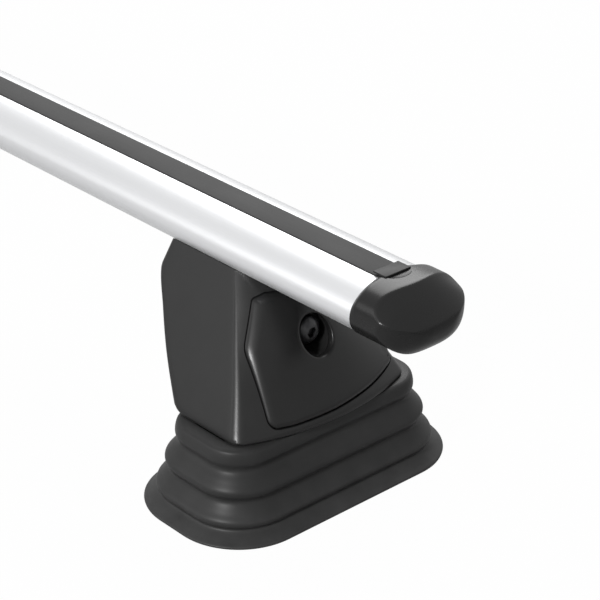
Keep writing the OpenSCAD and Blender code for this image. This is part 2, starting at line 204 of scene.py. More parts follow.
# %% Metal finishes
def patterned(name, low, high, fine, broad, share, rough, depth, strength=1.0, **fixed):
    """A finish from a fine pattern, which also makes the relief, and a broad one.

    A pattern is given as a method's name and its values. The colours low and high blend by
    both, and share is the fine one's part. The roughness is given as its lowest value, its
    rise, and whether it rises with the fine pattern.
    """
    finish = Finish(name, **fixed)
    fine_one = getattr(finish, fine[0])(*fine[1:])
    broad_one = getattr(finish, broad[0])(*broad[1:]) if broad else fine_one
    blend_by = fine_one * share + broad_one * (1 - share) if share else broad_one
    least, rise, with_fine = rough
    uneven = fine_one if with_fine else broad_one
    return finish.wear(finish.mix(low, high, blend_by), Roughness=least + rise * uneven,
                       Normal=finish.relief(fine_one, depth, strength))


METALS = {
    "anodised_bar": patterned(
        "anodised_aluminium", (0.56, 0.565, 0.575), (0.64, 0.645, 0.655),
        ("noise", 0.00035, 3, (220, 1, 1)), ("noise", 0.03, 2, (5, 1, 1)), 0.5,
        (0.33, 0.1, True), 0.00001, 0.5, Metallic=0.62, Specular_IOR_Level=0.5),
    "plated_steel": patterned(
        "plated_steel", (0.5, 0.5, 0.49), (0.66, 0.67, 0.68), ("cells", 0.0016),
        ("noise", 0.006), 0.4, (0.28, 0.16, False), 0.00002, Metallic=1.0),
    "frame_steel": patterned(
        "coated_steel", grey(0.022), grey(0.034), ("noise", 0.0012), ("noise", 0.012), 0,
        (0.34, 0.12, False), 0.00004, Specular_IOR_Level=0.5),
    "cast_zinc": patterned(
        "cast_zinc", (0.30, 0.305, 0.315), (0.42, 0.425, 0.435), ("noise", 0.0007, 3),
        ("noise", 0.008), 0, (0.42, 0.2, True), 0.00005, Metallic=0.9),
    "black_screw": patterned(
        "blackened_screw", grey(0.015), (0.04, 0.04, 0.043), ("noise", 0.0016, 3), None, 0,
        (0.26, 0.12, True), 0.00002, Metallic=0.3, Specular_IOR_Level=0.4)}
print("metals", sorted(METALS))

# %% [markdown]
# ## Plastics and rubbers
# The tower and its cover are moulded in a tool with a fine spark-eroded grain. It scatters the
# light, so the black plastic looks dark grey where it faces the lamps. The end cap is smoother.
# The rubber of the boot is softer in its gloss, with a faint bloom and some dust low down.

# %% Plastic and rubber finishes
def moulded_plastic(name, dark, light, grain_size, depth, least_rough, gloss=0.24):
    return patterned(name, grey(dark), grey(light), ("noise", grain_size, 3), ("noise", 0.018),
                     0.45, (least_rough, 0.1, False), depth, Specular_IOR_Level=gloss)


def boot_rubber():
    finish = Finish("boot_rubber", Specular_IOR_Level=0.17)
    grain = finish.noise(0.0006, 3)
    clouds = finish.noise(0.014, 3)
    bloom = finish.span(finish.height(), 0.0, 0.016, 1.0, 0.0) * clouds
    colour = finish.mix(finish.mix(grey(0.015), grey(0.027), clouds), grey(0.08), bloom * 0.4)
    return finish.wear(colour, Roughness=0.38 + 0.12 * clouds,
                       Normal=finish.relief(grain, 0.00002))


SOFTS = {
    "tower_plastic": moulded_plastic("tower_plastic", 0.008, 0.015, 0.0007, 0.000018, 0.26),
    "cover_plastic": moulded_plastic("cover_plastic", 0.006, 0.011, 0.0007, 0.000012, 0.25),
    "cap_plastic": moulded_plastic("cap_plastic", 0.006, 0.010, 0.0006, 0.000008, 0.22),
    "flap_plastic": moulded_plastic("flap_plastic", 0.01, 0.016, 0.0006, 0.00002, 0.36,
                                    gloss=0.14),
    "boot_rubber": boot_rubber(),
    "strip_rubber": patterned(
        "strip_rubber", grey(0.014), grey(0.03), ("noise", 0.0007, 2, (60, 1, 1)),
        ("noise", 0.012, 2, (3, 1, 1)), 0.4, (0.5, 0.12, False), 0.00003,
        Specular_IOR_Level=0.16),
    "pad_rubber": patterned(
        "pad_rubber", grey(0.025), grey(0.045), ("noise", 0.0009, 3), None, 0,
        (0.6, 0.15, True), 0.00006, Specular_IOR_Level=0.4)}
FINISHES = {**METALS, **SOFTS}
print("finishes", len(FINISHES))

# %% [markdown]
# ## Light and floor
# A product picture like this one has a white sweep and a large soft lamp behind the object, which
# lights what faces up and leaves the front of black parts dark. A small key lamp near the camera
# draws the lines of light on rounded edges. The floor is made whiter for the camera alone, so that
# it throws no more light on the black plastic than a pale floor would, and it keeps the shadow.

# %% Floor, world and lamps
LAMPS = {
    "back_softbox": ((-0.42, 0.88, 1.25), (0.5, 0.0, 0.06), 1.2, 21.0),
    "key_lamp": ((0.84, -1.42, 0.84), (0.54, 0.0, 0.08), 0.22, 26.0),
    "side_softbox": ((-0.5, -1.6, 0.8), (0.5, 0.0, 0.06), 0.8, 4.0)}
WORLD_STRENGTH = 0.3
# The floor's reach and drop are in metres, and its lift is the share of white that it glows with
FLOOR_REACH, FLOOR_DROP, FLOOR_GREY, FLOOR_LIFT = 6.0, 0.0003, 0.55, 0.98


def make_lamp(name, place, aim, size, power):
    data = bpy.data.lights.new(name, "AREA")
    data.shape = "SQUARE"
    data.size = size
    data.energy = power
    lamp = add_object(name, data)
    lamp.location = place
    lamp.rotation_euler = (Vector(aim) - Vector(place)).to_track_quat("-Z", "Y").to_euler()


def make_world():
    world = bpy.data.worlds.new("studio")
    world.use_nodes = True
    bpy.context.scene.world = world
    tree = Tree(world.node_tree)
    seen = tree.add("ShaderNodeLightPath", {}, out="Is Camera Ray")
    for name in ("Is Glossy Ray", "Is Transmission Ray"):
        seen = seen.math("MAXIMUM", seen, tree.add("ShaderNodeLightPath", {}, out=name))
    back = tree.nodes["Background"]
    back.inputs["Color"].default_value = (1, 1, 1, 1)
    tree.put(back.inputs["Strength"], seen * (1 - WORLD_STRENGTH) + WORLD_STRENGTH)


def make_floor():
    finish = Finish("studio_floor", Base_Color=(*grey(FLOOR_GREY), 1), Roughness=0.9)
    glow = finish.add("ShaderNodeEmission", {}, (1, 1, 1, 1), 1.0)
    lift = finish.add("ShaderNodeLightPath", {}, out="Is Camera Ray") * FLOOR_LIFT
    body = Wire(finish, finish.shader.outputs[0])
    mixed = finish.add("ShaderNodeMixShader", {}, lift, body, glow)
    finish.put(finish.nodes["Material Output"].inputs["Surface"], mixed)
    corners = [(x * FLOOR_REACH, y * FLOOR_REACH, -FLOOR_DROP)
               for x, y in ((-1, -1), (1, -1), (1, 1), (-1, 1))]
    mesh = bpy.data.meshes.new("studio_floor")
    mesh.from_pydata(corners, [], [(0, 1, 2, 3)])
    mesh.materials.append(finish.material)
    floor = add_object("studio_floor", mesh)


make_world()
make_floor()
for lamp_name, lamp_values in LAMPS.items():
    make_lamp(lamp_name, *lamp_values)
print("lamps", sorted(LAMPS))

# %% [markdown]
# ## Sizes
# The parts are drawn in millimetres, in the frame of the right foot or of the right end of the
# bar, as on a maker's drawing. A finished piece is then turned to its side and brought to metres.

# %% Sizes of the parts
BAR_WIDTH, BAR_HEIGHT, BAR_AXIS = 50, 28.4, 115
BAR_LENGTH, FOOT_X = 1200, 537.5
TOP_MOUTH, TOP_CAVITY, TOP_LIP, TOP_DEPTH = 15.2, 22, 2.4, 7.6
LOW_MOUTH, LOW_CAVITY, LOW_LIP, LOW_DEPTH = 10, 19, 2.5, 5
BAR_WALL = 2.2
CAP_LENGTH, CAP_PROUD, CAP_PLUG = 29, 0.5, 22
FLAP_LENGTH, FLAP_OVERLAP, FLAP_THICK, FLAP_LIP = 8, 4.5, 3, 0.8
SCOOP_LENGTH = 4.8
TOWER_FOOT, TOWER_LENGTH, TOWER_TOP_LENGTH = 41.5, 108, 41
TOWER_WALL, COVER_THICK, COVER_PROUD = 2.6, 2, 1.2
BOOT_LENGTH, BOOT_WIDTH, BOOT_CORNER, BOOT_WALL = 153.0, 85.0, 34.0, 2.4
SCREW_Z, WALL_X, RECESS, COVER_HOLE = 78.5, 2, 18, 18
# The gap round what is seated, and an x that is past everything on a foot
SEAT_GAP, PAST = 0.3, 60
SIDES = {"right": 0, "left": pi}
TO_METRES = Matrix.Scale(0.001, 4)


def foot_place(side):
    return TO_METRES @ Matrix.Rotation(SIDES[side], 4, "Z") @ Matrix.Translation((FOOT_X, 0, 0))


def end_place(side):
    shift = Matrix.Translation((BAR_LENGTH / 2, 0, BAR_AXIS))
    return TO_METRES @ Matrix.Rotation(SIDES[side], 4, "Z") @ shift


def oval_rise(y, grow=0.0):
    wide, high = BAR_WIDTH / 2 + grow, BAR_HEIGHT / 2 + grow
    return high * sqrt(max(0.0, 1 - (y / wide) ** 2))


TOWER_TOP = BAR_AXIS - oval_rise(TOWER_TOP_LENGTH / 2)
print("tower top at", round(TOWER_TOP, 2), "mm")

# %% [markdown]
# ## Small mesh tools
# A loft joins rings of points that have the same count. A slab fills an outline that is drawn
# from the end of the bar with triangles, and lifts it between two curved surfaces. Both close
# their shape, so that Boolean modifiers can cut them, and faces point outwards.

# %% Mesh tools
def new_object(name, points, faces):
    mesh = bpy.data.meshes.new(name)
    mesh.from_pydata([tuple(point) for point in points], [], faces)
    mesh.update()
    return add_object(name, mesh)


def drop(*objects):
    for item in objects:
        bpy.data.objects.remove(item)


def loft(name, rings):
    """Join rings from first to last, and close both ends with a fan round their middle."""
    count = len(rings[0])
    points = [point for ring in rings for point in ring]
    faces = []
    for level in range(len(rings) - 1):
        for step in range(count):
            a, b = level * count + step, level * count + (step + 1) % count
            faces.append((a, b, b + count, a + count))
    for level, flip in ((0, True), (len(rings) - 1, False)):
        middle = sum((Vector(point) for point in rings[level]), Vector()) / count
        points.append(tuple(middle))
        for step in range(count):
            a, b = level * count + step, level * count + (step + 1) % count
            faces.append((b, a, len(points) - 1) if flip else (a, b, len(points) - 1))
    return new_object(name, points, faces)


def rounded(corners, steps=6):
    """Round a polygon's corners, each given as x, y and radius."""
    points = []
    count = len(corners)
    for index, (x, y, radius) in enumerate(corners):
        here = Vector((x, y))
        back = Vector(corners[index - 1][:2]) - here
        ahead = Vector(corners[(index + 1) % count][:2]) - here
        if radius <= 0:
            points.append((x, y))
            continue
        half = back.angle(ahead) / 2
        reach = min(radius / tan(half), back.length * 0.49, ahead.length * 0.49)
        radius = reach * tan(half)
        start, end = here + back.normalized() * reach, here + ahead.normalized() * reach
        centre = here + (back.normalized() + ahead.normalized()).normalized() * radius / sin(half)
        first, last = start - centre, end - centre
        turn = atan2(first.x * last.y - first.y * last.x, first.dot(last))
        for step in range(steps + 1):
            angle = turn * step / steps
            points.append((centre.x + first.x * cos(angle) - first.y * sin(angle),
                           centre.y + first.x * sin(angle) + first.y * cos(angle)))
    return points


def even(points, spacing):
    """Put points on a closed line, about evenly spaced, keeping its corners."""
    made = []
    for a, b in zip(points, points[1:] + points[:1]):
        count = max(1, round(hypot(b[0] - a[0], b[1] - a[1]) / spacing))
        made += [(a[0] + (b[0] - a[0]) * i / count, a[1] + (b[1] - a[1]) * i / count)
                 for i in range(count)]
    return made


def inset(points, distance):
    """Move an anticlockwise closed line inwards, or outwards for a negative distance."""
    made = []
    count = len(points)
    for index, (x, y) in enumerate(points):
        ax, ay = points[index - 1]
        bx, by = points[(index + 1) % count]
        along = Vector((bx - ax, by - ay)).normalized()
        made.append((x - along.y * distance, y + along.x * distance))
    return made


def arc(x, y, radius, start, end, count, first=0):
    """Points round a centre, from one angle to another."""
    return [(x + radius * cos(a), y + radius * sin(a))
            for a in (start + (end - start) * i / count for i in range(first, count + 1))]


def circle(x, y, diameter, count=64):
    return arc(x, y, diameter / 2, 0, 2 * pi, count)[:-1]


def slab(name, outline, low, high, holes=(), spacing=3.0, rim=((0.0, 0.0),), hole_rim=None):
    """A closed plate between the surfaces x = low(y, z) and x = high(y, z).

    The rim lists how far inside the outline the upper face has dropped by how much, which
    rounds its edge, and hole_rim does the same round each hole.
    """
    hole_rim = hole_rim or rim
    loops = [outline] + [list(hole) for hole in holes]
    points, edges, drops = [], [], []
    for number, loop in enumerate(loops):
        for distance, fall in (hole_rim if number else rim):
            ring = inset(loop, distance if number == 0 else -distance)
            start, count = len(points), len(ring)
            points += ring
            drops += [fall] * count
            edges += [(start + i, start + (i + 1) % count) for i in range(count)]
    reach = rim[-1][0] + spacing * 0.45
    border = inset(outline, reach)
    keep_off = []
    for hole in holes:
        middle = [sum(p[i] for p in hole) / len(hole) for i in (0, 1)]
        keep_off.append((*middle, hypot(hole[0][0] - middle[0], hole[0][1] - middle[1]) + reach))
    ys, zs = [p[0] for p in outline], [p[1] for p in outline]
    z = min(zs) + spacing / 2
    while z < max(zs):
        y = min(ys) + spacing / 2
        while y < max(ys):
            clear = all(hypot(y - hole_y, z - hole_z) > far for hole_y, hole_z, far in keep_off)
            if clear and inside(border, y, z):
                points.append((y, z))
                drops.append(rim[-1][1])
            y += spacing
        z += spacing
    flat, _, triangles, origin, _, _ = delaunay_2d_cdt(
        [Vector(p) for p in points], edges, [], 0, 1e-5)
    keep = [t for t in triangles if in_plate([flat[i] for i in t], outline, holes)]
    fall_of = [drops[o[0]] if o else rim[-1][1] for o in origin]
    upper = [(high(p.x, p.y) - fall_of[i], p.x, p.y) for i, p in enumerate(flat)]
    lower = [(low(p.x, p.y), p.x, p.y) for p in flat]
    count = len(flat)
    faces = [tuple(t) for t in keep] + [tuple(count + i for i in reversed(t)) for t in keep]
    sides = dict.fromkeys((a, b) for t in keep for a, b in zip(t, t[1:] + t[:1]))
    faces += [(b, a, count + a, count + b) for a, b in sides if (b, a) not in sides]
    used = sorted({i for face in faces for i in face})
    number = {old: new for new, old in enumerate(used)}
    both = upper + lower
    return new_object(name, [both[i] for i in used],
                      [tuple(number[i] for i in face) for face in faces])


def inside(loop, x, y):
    found = False
    for (ax, ay), (bx, by) in zip(loop, loop[1:] + loop[:1]):
        if (ay > y) != (by > y) and x < (bx - ax) * (y - ay) / (by - ay) + ax:
            found = not found
    return found


def in_plate(corners, outline, holes):
    x = sum(p.x for p in corners) / 3
    y = sum(p.y for p in corners) / 3
    return inside(outline, x, y) and not any(inside(hole, x, y) for hole in holes)


def cut(target, operation, *tools):
    """Apply Boolean modifiers to an object, and remove the tools."""
    for tool in tools:
        modifier = target.modifiers.new("cut", "BOOLEAN")
        modifier.operation = operation
        modifier.solver = "EXACT"
        modifier.object = tool
        bake(target)
        clean(target)
        drop(tool)
    return target


def clean(target, distance=0.0008):
    """Remove the tiny edges and slivers that a Boolean leaves where surfaces nearly touch."""
    work = bmesh.new()
    work.from_mesh(target.data)
    bmesh.ops.dissolve_degenerate(work, edges=work.edges, dist=distance)
    bmesh.ops.remove_doubles(work, verts=work.verts, dist=distance)
    work.to_mesh(target.data)
    work.free()


def bake(target):
    """Turn what the modifiers make into the object's own mesh, and remove them."""
    graph = bpy.context.evaluated_depsgraph_get()
    graph.update()
    mesh = bpy.data.meshes.new_from_object(target.evaluated_get(graph))
    target.modifiers.clear()
    target.data = mesh
    return target


def round_bar(name, start, diameter, y, z, count=64):
    """A round cutter along X, from its start to past the foot's outer side."""
    rings = [[(x, *point) for point in circle(y, z, diameter, count)] for x in (start, PAST)]
    return loft(name, rings)


def box_between(name, low, high):
    (x0, y0, z0), (x1, y1, z1) = low, high
    rings = [[(x, y0, z0), (x, y1, z0), (x, y1, z1), (x, y0, z1)] for x in (x0, x1)]
    return loft(name, rings)


def settle(shape, name, place, body, finish, node, crease=32):
    """Copy a shape to its place in metres, as a finished piece that rides on a body."""
    mesh = shape.data.copy()
    mesh.transform(place)
    mesh.shade_smooth()
    mesh.set_sharp_from_angle(angle=radians(crease))
    mesh.materials.clear()
    mesh.materials.append(FINISHES[finish])
    piece = add_object(name, mesh)
    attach(piece, body)
    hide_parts(node)
    print(name, len(mesh.polygons), "faces")


def on_both_sides(shape, name, body, finish, node, crease=32, place=foot_place):
    """Settle a shape at both feet, or at both ends of the bar."""
    for side in SIDES:
        settle(shape, f"{side}_{name}", place(side), body.format(side=side), finish,
               f"{side}_{node}", crease)
    drop(shape)


# %% [markdown]
# ## The bar
# An extrusion has one section all along. A filled two-dimensional curve with its chambers as
# inner splines gives that section, and the curve's own extrusion gives the length. The sharp
# edges of the slots are broken by half a millimetre, as an extrusion die leaves them.

# %% Bar
LIP_ROUND = 0.45
# Width, lowest and highest place of the chamber in the middle
MIDDLE_CHAMBER = (TOP_CAVITY, -4.5, 2.0)


def bar_outline():
    """The oval with its two slots, as one anticlockwise line."""
    top_a = asin(oval_rise(TOP_MOUTH / 2) / (BAR_HEIGHT / 2))
    low_a = asin(oval_rise(LOW_MOUTH / 2) / (BAR_HEIGHT / 2))
    top, low = BAR_HEIGHT / 2, -BAR_HEIGHT / 2
    left_slot = [(-TOP_MOUTH / 2, top - TOP_LIP, 0.3), (-TOP_CAVITY / 2, top - TOP_LIP, 0.6),
                 (-TOP_CAVITY / 2, top - TOP_LIP - TOP_DEPTH, 0.8)]
    low_slot = [(-LOW_MOUTH / 2, low + LOW_LIP, 0.3), (-LOW_CAVITY / 2, low + LOW_LIP, 0.6),
                (-LOW_CAVITY / 2, low + LOW_LIP + LOW_DEPTH, 0.8)]
    right = [(-x, y, r) for x, y, r in reversed(left_slot)]
    right_low = [(-x, y, r) for x, y, r in reversed(low_slot)]
    side = [(BAR_WIDTH / 2 * x, BAR_HEIGHT / 2 * y, 0)
            for x, y in arc(0, 0, 1, -low_a, top_a, 110)]
    other = [(-x, y, r) for x, y, r in reversed(side)]
    for line in (side, other):
        for end in (0, -1):
            line[end] = (*line[end][:2], LIP_ROUND)
        del line[1:4], line[-4:-1]
    return side + right[::-1] + left_slot[::-1] + other + low_slot + right_low


def side_chambers(gap, count, corner):
    """The lines of the two hollows beside the slots, made smaller by a gap."""
    wall, web = BAR_WALL + gap, TOP_CAVITY / 2 + BAR_WALL + gap
    wide, high = BAR_WIDTH / 2 - wall, BAR_HEIGHT / 2 - wall
    edge = asin(sqrt(1 - (web / wide) ** 2))
    return [[(sign * wide * cos(edge * i / count), high * sin(edge * i / count),
              corner if abs(i) == count else 0) for i in range(-count, count + 1)]
            for sign in (1, -1)]


def bar_chambers():
    width, low, high = MIDDLE_CHAMBER
    half = width / 2
    middle = [(-half, low, 0.8), (half, low, 0.8), (half, high, 0.8), (-half, high, 0.8)]
    return side_chambers(0, 24, 0.6) + [middle]


def extrusion(name, lines, length):
    """Fill flat lines, drawn across the bar, and draw them out along it."""
    curve = bpy.data.curves.new(name, "CURVE")
    curve.dimensions = "2D"
    curve.fill_mode = "BOTH"
    curve.extrude = length / 2
    for line in lines:
        spline = curve.splines.new("POLY")
        points = rounded(line, 4)
        spline.points.add(len(points) - 1)
        for point, (x, y) in zip(spline.points, points):
            point.co = (x, y, 0, 1)
        spline.use_cyclic_u = True
    drawn = add_object(name, curve)
    graph = bpy.context.evaluated_depsgraph_get()
    mesh = bpy.data.meshes.new_from_object(drawn.evaluated_get(graph))
    drop(drawn)
    mesh.transform(Matrix(((0, 0, 1, 0), (1, 0, 0, 0), (0, 1, 0, 0), (0, 0, 0, 1))))
    return weld(add_object(name, mesh))


def weld(target, distance=0.0005):
    """Merge doubled points and turn all faces outwards."""
    work = bmesh.new()
    work.from_mesh(target.data)
    bmesh.ops.remove_doubles(work, verts=work.verts, dist=distance)
    bmesh.ops.recalc_face_normals(work, faces=work.faces)
    work.to_mesh(target.data)
    work.free()
    return target


bar_middle = TO_METRES @ Matrix.Translation((0, 0, BAR_AXIS))
bar_shape = extrusion("bar", [bar_outline()] + bar_chambers(), BAR_LENGTH)
settle(bar_shape, "anodised_bar", bar_middle, "crossbar", "anodised_bar", "bar")
drop(bar_shape)

# %% [markdown]
# ## The rubber strip
# The infill is extruded too: a crowned top, two legs, and barbs that catch under the lips. Its
# edges are rounded, which leaves the dark line that the photograph shows beside each lip.

# %% Top strip
STRIP_THICK, STRIP_LEG, STRIP_BARB = 2.4, 1.6, 1.4


def strip_line():
    edge, top, leg, barb = TOP_MOUTH / 2 - 0.1, BAR_HEIGHT / 2, STRIP_LEG, STRIP_BARB
    under, floor = top - STRIP_THICK, top - TOP_LIP - TOP_DEPTH
    barb_z = top - TOP_LIP - SEAT_GAP - barb
    crown = [(y, oval_rise(y), 0) for y in (edge - edge * i / 8 for i in range(17))]
    crown[0] = (edge, oval_rise(edge), 0.5)
    crown[-1] = (-edge, oval_rise(edge), 0.5)
    left = [(-edge, barb_z + barb, 0.1), (-edge - barb, barb_z + barb, 0.3),
            (-edge, barb_z, 0.1), (-edge, floor, 0.3), (leg - edge, floor, 0.3),
            (leg - edge, under, 0.4)]
    return crown + left + [(-y, z, r) for y, z, r in reversed(left)]


strip_shape = extrusion("strip", [strip_line()], BAR_LENGTH - 1)
settle(strip_shape, "rubber_strip", bar_middle, "crossbar", "strip_rubber", "top_strip")
drop(strip_shape)

# %% [markdown]
# ## The end caps
# The cap is a sleeve that follows the bar, with a flat land on top, cut off by a large domed
# front. The front's upper face slopes, its lower face is steep, and they meet in a ridge at each
# side. A section is the lower of two heights at each point: the sleeve's and the front's. A voxel
# remesh then gives even faces, and smoothing rounds the creases by a millimetre or two. The seat
# of the flap and the half-moon scoop are cut afterwards, and stay crisp.

# %% End caps
# Each pair is a distance from the bar's end, and a height or half width there
FRONT_TOP = [(0, 26), (8, 20.4), (12, 17.2), (15, 14.9), (18, 12.4), (21, 9.6), (24, 6.4),
             (26, 3.9), (27.5, 1.6), (28.5, -0.7), (29, -3)]
FRONT_FOOT = [(0, -20), (16, -16), (20, -14.9), (22, -14.4), (24, -13.4), (26, -11.7),
              (27.5, -9.8), (28.5, -7.6), (29, -5)]
FRONT_HALF = [(0, 40), (10, 31), (14, 27), (16.6, 25.6), (18, 25), (20, 24), (22, 22.5),
              (24, 20.3), (26, 17), (27.5, 13.4), (28.5, 9.4), (29, 5)]
RIDGE = [(0, 6), (16, 4.6), (20, 3.8), (24, 2.0), (27, 0.2), (28.5, -3), (29, -4)]
CAP_VOXEL, CAP_SMOOTHING, CAP_STEPS = 0.34, 36, 64
FLAP_GAP, PLUG_GAP = 0.15, 0.25
# How high the scoop's wall is over the bar's top, and how far its outline has shrunk there
SCOOP_LEVELS = ((4.0, 1.0), (0.75, 1.0), (0.6, 0.97), (0.48, 0.88), (0.34, 0.7), (0.22, 0.45),
                (0.15, 0.2))


def blend(knots, x, column=1, first=0):
    """A smooth line through knots, which hold x and one or more columns of values."""
    last = len(knots) - 1
    index = max(i for i in range(last) if i == 0 or knots[i][0] <= x)
    start, end = knots[index], knots[index + 1]
    width = end[0] - start[0]
    t = (x - start[0]) / width
    rises = []
    for i in (index, index + 1):
        a, b = knots[max(i - 1, first)], knots[min(i + 1, last)]
        rises.append((b[column] - a[column]) / (b[0] - a[0]) * width)
    return ((2 * t ** 3 - 3 * t ** 2 + 1) * start[column] + (t ** 3 - 2 * t ** 2 + t) * rises[0]
            + (3 * t ** 2 - 2 * t ** 3) * end[column] + (t ** 3 - t ** 2) * rises[1])


def cap_ring(x, count=176):
    """The cap's section: its sleeve, which is flat on top, cut by the surface of its front."""
    wide, high = BAR_WIDTH / 2 + CAP_PROUD, BAR_HEIGHT / 2 + CAP_PROUD
    half, ridge = blend(FRONT_HALF, x), blend(RIDGE, x)
    front_top, front_foot = blend(FRONT_TOP, x), blend(FRONT_FOOT, x)
    square = 2 + 0.75 * min(1.0, max(0.0, x) / 2)
    ring = []
    for i in range(count):
        angle = 2 * pi * (i + 0.5) / count
        y = min(wide, half) * cos(angle)
        out, near = abs(y) / wide, min(1.0, abs(y) / half)
        if sin(angle) > 0:
            z = min((high + 0.2) * (1 - out ** square) ** (1 / square),
                    ridge + (front_top - ridge) * (1 - near ** 2) ** 0.85)
        else:
            z = max(-high * sqrt(1 - out ** 2),
                    ridge - (ridge - front_foot) * (1 - near ** 3) ** (1 / 3))
        ring.append((x, y, z))
    return ring


def soften(target, voxel, rounds):
    """Remesh evenly and smooth, which rounds every crease."""
    remesh = target.modifiers.new("even", "REMESH")
    remesh.mode = "VOXEL"
    remesh.voxel_size = voxel
    smooth = target.modifiers.new("soft", "SMOOTH")
    smooth.factor = 0.5
    smooth.iterations = rounds
    return bake(target)


def make_scoop(reach):
    """The cutter of the half-moon scoop, which starts at the flap's end."""
    half = TOP_MOUTH / 2
    radius = (half ** 2 + SCOOP_LENGTH ** 2) / (2 * SCOOP_LENGTH)
    spread = asin(half / radius) * 0.985
    moon = arc(reach + SCOOP_LENGTH - radius, 0, radius, -spread, spread, 32)
    rings = []
    for rise, shrink in SCOOP_LEVELS:
        low = [(reach + (x - reach) * shrink, y * (0.4 + 0.6 * shrink)) for x, y in moon]
        low += [(reach - 0.2, low[-1][1]), (reach - 0.2, low[0][1])]
        rings.append([(x, y, BAR_HEIGHT / 2 + rise) for x, y in low])
    return weld(loft("scoop", rings))


def make_cap():
    steps = [-6, 0] + [CAP_LENGTH * (1 - (1 - i / CAP_STEPS) ** 1.5)
                       for i in range(1, CAP_STEPS + 1)]
    cap = soften(loft("cap", [cap_ring(x) for x in steps]), CAP_VOXEL, CAP_SMOOTHING)
    half, reach, top = TOP_MOUTH / 2 + FLAP_GAP, FLAP_LENGTH - FLAP_OVERLAP, BAR_HEIGHT / 2
    back = box_between("back", (-20, -PAST, -PAST), (0, PAST, PAST))
    seat = box_between("seat", (-9, -half, top - FLAP_THICK - FLAP_GAP),
                       (reach + FLAP_GAP, half, top + 5))
    cut(cap, "DIFFERENCE", back, seat, make_scoop(reach))
    for line in side_chambers(PLUG_GAP, 20, 0):
        plug = extrusion("plug", [line], CAP_PLUG + 1)
        plug.data.transform(Matrix.Translation((1 - (CAP_PLUG + 1) / 2, 0, 0)))
        cut(cap, "UNION", plug)
    return cap


on_both_sides(make_cap(), "cap", "crossbar", "cap_plastic", "end_cap", 40, end_place)

# %% [markdown]
# ## The flap over the slot
# A small lid closes the end of the slot. Its plate lies on the strip, its block fills the seat
# in the cap, and its top edges are rounded, so they catch the light. A bevel does that.

# %% Slot flaps
def make_flap():
    half, over = TOP_MOUTH / 2, BAR_HEIGHT / 2 + SEAT_GAP
    reach = FLAP_LENGTH - FLAP_OVERLAP
    plate = box_between("flap", (-FLAP_OVERLAP, -half, over), (reach, half, over + FLAP_LIP))
    block = box_between("block", (0, -half, over - SEAT_GAP - FLAP_THICK),
                        (reach, half, over + 0.5))
    cut(plate, "UNION", block)
    bevel = plate.modifiers.new("edges", "BEVEL")
    bevel.width = 0.35
    bevel.segments = 3
    bevel.limit_method = "ANGLE"
    return bake(plate)


on_both_sides(make_flap(), "flap_lid", "{side}_flap", "flap_plastic", "slot_flap",
              place=end_place)

# %% [markdown]
# ## The boot
# The rubber bellows has one profile all round, so its shape follows a rule: the profile is
# carried along a rounded rectangle. Geometry Nodes do this with Curve to Mesh. The tree has the
# boot's length, width and corner radius as named inputs, and the profile is the input mesh.

# %% Geometry Nodes in Python
class Recipe(Tree):
    """A Geometry Nodes tree with named inputs, run once on a mesh."""

    def __init__(self, name, **sizes):
        group = bpy.data.node_groups.new(name, "GeometryNodeTree")
        face = group.interface
        face.new_socket("Geometry", in_out="INPUT", socket_type="NodeSocketGeometry")
        self.sizes = {}
        for size, value in sizes.items():
            kind = "NodeSocketInt" if isinstance(value, int) else "NodeSocketFloat"
            made = face.new_socket(size, in_out="INPUT", socket_type=kind)
            self.sizes[made.identifier] = value
        face.new_socket("Geometry", in_out="OUTPUT", socket_type="NodeSocketGeometry")
        super().__init__(group)
        self.start = self.nodes.new("NodeGroupInput")
        self.name = name

    def given(self, name):
        return Wire(self, self.start.outputs[name])

    def run(self, result, finish, mesh):
        """End the tree, run it on a mesh and give back an object with a plain mesh."""
        real = self.add("GeometryNodeRealizeInstances", {}, result)
        painted = self.add("GeometryNodeSetMaterial", {}, real, Material=FINISHES[finish])
        end = self.nodes.new("NodeGroupOutput")
        self.put(end.inputs[0], painted)
        made = add_object(self.name, mesh)
        modifier = made.modifiers.new(self.name, "NODES")
        modifier.node_group = self.node_tree
        for identifier, value in self.sizes.items():
            modifier[identifier] = value
        return bake(made)


def line_mesh(name, points):
    """A closed line as a mesh of edges alone, which a tree can turn into a curve."""
    mesh = bpy.data.meshes.new(name)
    edges = [(i, (i + 1) % len(points)) for i in range(len(points))]
    mesh.from_pydata(points, edges, [])
    return mesh


# %% Boots
# Each pair is a distance inside the boot's outline, and a height
BOOT_KNOTS = [
    (17.7, 41.5), (16.2, 40.6), (15.4, 38), (15.3, 35), (16.4, 31), (13.2, 27), (10.5, 23.6),
    (10.3, 21), (11.6, 17.6), (8.7, 13.2), (6.1, 10.2), (5.9, 8), (6.8, 5.6), (2.6, 2.6),
    (0, 1.1), (0, 0)]


def smooth_line(knots, steps):
    """A Catmull-Rom line through the knots."""
    made = []
    last = len(knots) - 1
    for i in range(last):
        four = [knots[max(i - 1, 0)], knots[i], knots[i + 1], knots[min(i + 2, last)]]
        for step in range(steps):
            t = step / steps
            made.append(tuple(0.5 * (2 * b + (c - a) * t + (2 * a - 5 * b + 4 * c - d) * t * t
                                     + (3 * b - a - 3 * c + d) * t ** 3)
                              for a, b, c, d in zip(*four)))
    return made + [knots[-1]]


def boot_profile():
    """The wall's section: distance inside the outline, and height."""
    outer = smooth_line(BOOT_KNOTS, 6)
    inner = [(p + BOOT_WALL, min(z, TOWER_FOOT - BOOT_WALL)) for p, z in outer[:0:-3]]
    flange = BOOT_KNOTS[0][0] + 6
    return outer + inner + [(flange, TOWER_FOOT - BOOT_WALL), (flange, TOWER_FOOT)]


